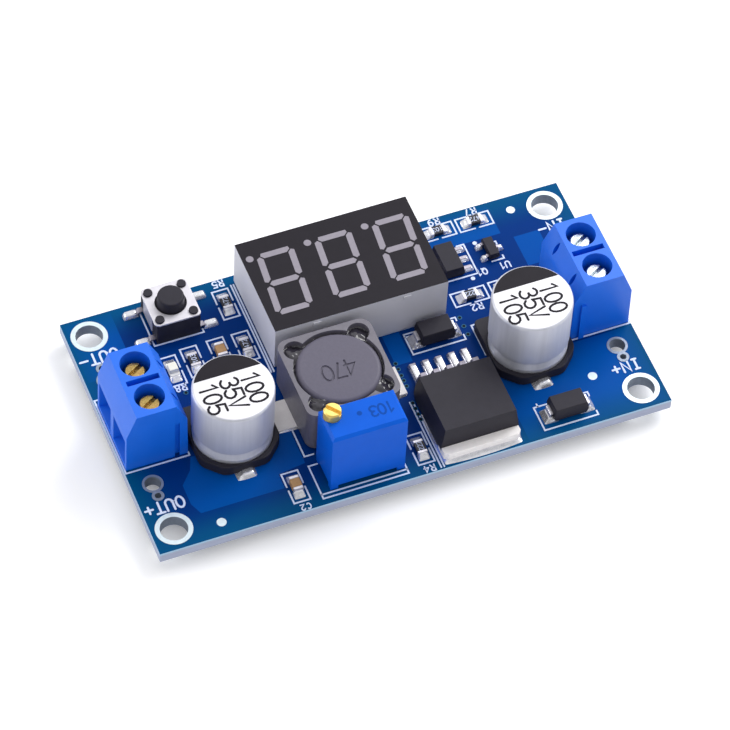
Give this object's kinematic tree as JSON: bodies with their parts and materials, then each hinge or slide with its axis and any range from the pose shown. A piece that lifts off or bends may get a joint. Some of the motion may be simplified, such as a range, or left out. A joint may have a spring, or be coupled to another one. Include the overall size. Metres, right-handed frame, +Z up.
{
  "type": "buck converter module",
  "caption": "Blue step-down converter board with screw terminals, can capacitors, shielded inductor, multi-turn trimmer, push button and a digital meter display.",
  "frame": {"origin": "centre of the board's outline, level with the tips of the solder joints that the module stands on", "axes": "+X along the long edge from the output terminal to the input terminal, +Y to the long edge beside the display, +Z up out of the component side"},
  "size_m": [0.066, 0.036, 0.0144],
  "materials": {
    "solder_mask": "glossy blue lacquer",
    "tinned_copper": "tinned",
    "solder": "bright solder",
    "terminal_blue": "moulded satin",
    "clamp_steel": "plated",
    "yellow_zinc": "yellow zinc plated",
    "bright_zinc": "bright zinc plated",
    "can_aluminium": "drawn, clear coated",
    "black_moulding": "moulded matte",
    "tinned_lead": "matte tin",
    "ferrite": "sintered matte",
    "copper_wire": "enamelled",
    "adhesive": "cured epoxy",
    "display_shell": "moulded satin",
    "display_resin": "cast translucent",
    "bare_laminate": "glass laminate",
    "switch_steel": "formed strip",
    "trimmer_blue": "moulded satin",
    "trimmer_brass": "turned",
    "potting": "cast",
    "resistor_glaze": "glazed",
    "chip_tin": "matte tin",
    "tan_ceramic": "fired ceramic",
    "indicator_white": "moulded",
    "indicator_clear": "cast clear",
    "legend_white": "printed",
    "mark_black": "printed"
  },
  "bodies": {
    "root": {"circuit_board": "solder_mask", "mounting_hole_plating": "tinned_copper", "wire_hole_plating": "tinned_copper", "surface_solder": "solder", "solder_joints": "solder", "out_terminal_housing": "terminal_blue", "in_terminal_housing": "terminal_blue", "terminal_cages": "clamp_steel", "out_capacitor_can": "can_aluminium", "in_capacitor_can": "can_aluminium", "out_capacitor_base": "black_moulding", "in_capacitor_base": "black_moulding", "out_capacitor_leads": "tinned_lead", "in_capacitor_leads": "tinned_lead", "inductor_shield": "ferrite", "inductor_drum": "ferrite", "inductor_winding": "copper_wire", "inductor_adhesive": "adhesive", "inductor_terminals": "tinned_lead", "display_housing": "display_shell", "display_segments": "display_resin", "display_board": "bare_laminate", "display_pins": "tinned_lead", "switch_base": "black_moulding", "switch_cover": "switch_steel", "switch_dome": "switch_steel", "switch_leads": "tinned_lead", "trimmer_case": "trimmer_blue", "trimmer_seal": "potting", "trimmer_pins": "tinned_lead", "regulator_body": "black_moulding", "regulator_tab": "tinned_lead", "regulator_leads": "tinned_lead", "output_diode_body": "black_moulding", "output_diode_leads": "tinned_lead", "input_diode_body": "black_moulding", "input_diode_leads": "tinned_lead", "transistor_body": "black_moulding", "transistor_leads": "tinned_lead", "reference_body": "black_moulding", "reference_leads": "tinned_lead", "resistor_bodies": "resistor_glaze", "resistor_ends": "chip_tin", "chip_capacitor_bodies": "tan_ceramic", "chip_capacitor_ends": "chip_tin", "indicator_base": "indicator_white", "indicator_lens": "indicator_clear", "controller_body": "black_moulding", "controller_leads": "tinned_lead"},
    "button": {"switch_plunger": "black_moulding"},
    "trimmer_adjuster": {"trimmer_screw": "trimmer_brass"},
    "out_plus_plate": {"out_plus_clamp_plate": "clamp_steel"},
    "out_plus_driver": {"out_plus_screw": "yellow_zinc"},
    "out_minus_plate": {"out_minus_clamp_plate": "clamp_steel"},
    "out_minus_driver": {"out_minus_screw": "yellow_zinc"},
    "in_plus_plate": {"in_plus_clamp_plate": "clamp_steel"},
    "in_plus_driver": {"in_plus_screw": "bright_zinc"},
    "in_minus_plate": {"in_minus_clamp_plate": "clamp_steel"},
    "in_minus_driver": {"in_minus_screw": "bright_zinc"}
  },
  "joints": [
    {"name": "button_press", "type": "slide", "parent": "root", "child": "button", "axis": [0, 0, -1], "range_m": [0, 0.00025], "stiffness_N_per_m": 200, "deforming": ["switch_dome"]},
    {"name": "trimmer_turn", "type": "hinge", "parent": "root", "child": "trimmer_adjuster", "pos_m": [-0.00951, -0.0127, 0.0132], "axis": [0, 0, 1], "continuous": true},
    {"name": "out_plus_clamp", "type": "slide", "parent": "root", "child": "out_plus_plate", "axis": [0, 0, 1], "range_m": [-0.002, 0]},
    {"name": "out_plus_turn", "type": "hinge", "parent": "out_plus_plate", "child": "out_plus_driver", "pos_m": [-0.0288, -0.00274, 0.0102], "axis": [0, 0, 1], "range_deg": [-1440.1, 0]},
    {"name": "out_minus_clamp", "type": "slide", "parent": "root", "child": "out_minus_plate", "axis": [0, 0, 1], "range_m": [-0.002, 0]},
    {"name": "out_minus_turn", "type": "hinge", "parent": "out_minus_plate", "child": "out_minus_driver", "pos_m": [-0.0288, 0.00234, 0.0102], "axis": [0, 0, 1], "range_deg": [-1440.1, 0]},
    {"name": "in_plus_clamp", "type": "slide", "parent": "root", "child": "in_plus_plate", "axis": [0, 0, 1], "range_m": [-0.002, 0]},
    {"name": "in_plus_turn", "type": "hinge", "parent": "in_plus_plate", "child": "in_plus_driver", "pos_m": [0.02885, -0.00274, 0.0102], "axis": [0, 0, 1], "range_deg": [-1440.1, 0]},
    {"name": "in_minus_clamp", "type": "slide", "parent": "root", "child": "in_minus_plate", "axis": [0, 0, 1], "range_m": [-0.002, 0]},
    {"name": "in_minus_turn", "type": "hinge", "parent": "in_minus_plate", "child": "in_minus_driver", "pos_m": [0.02885, 0.00234, 0.0102], "axis": [0, 0, 1], "range_deg": [-1440.1, 0]}
  ],
  "couplings": [
    {"joint": "out_plus_turn", "follows": "out_plus_clamp", "rad_per_m": 12566},
    {"joint": "out_minus_turn", "follows": "out_minus_clamp", "rad_per_m": 12566},
    {"joint": "in_plus_turn", "follows": "in_plus_clamp", "rad_per_m": 12566},
    {"joint": "in_minus_turn", "follows": "in_minus_clamp", "rad_per_m": 12566}
  ]
}
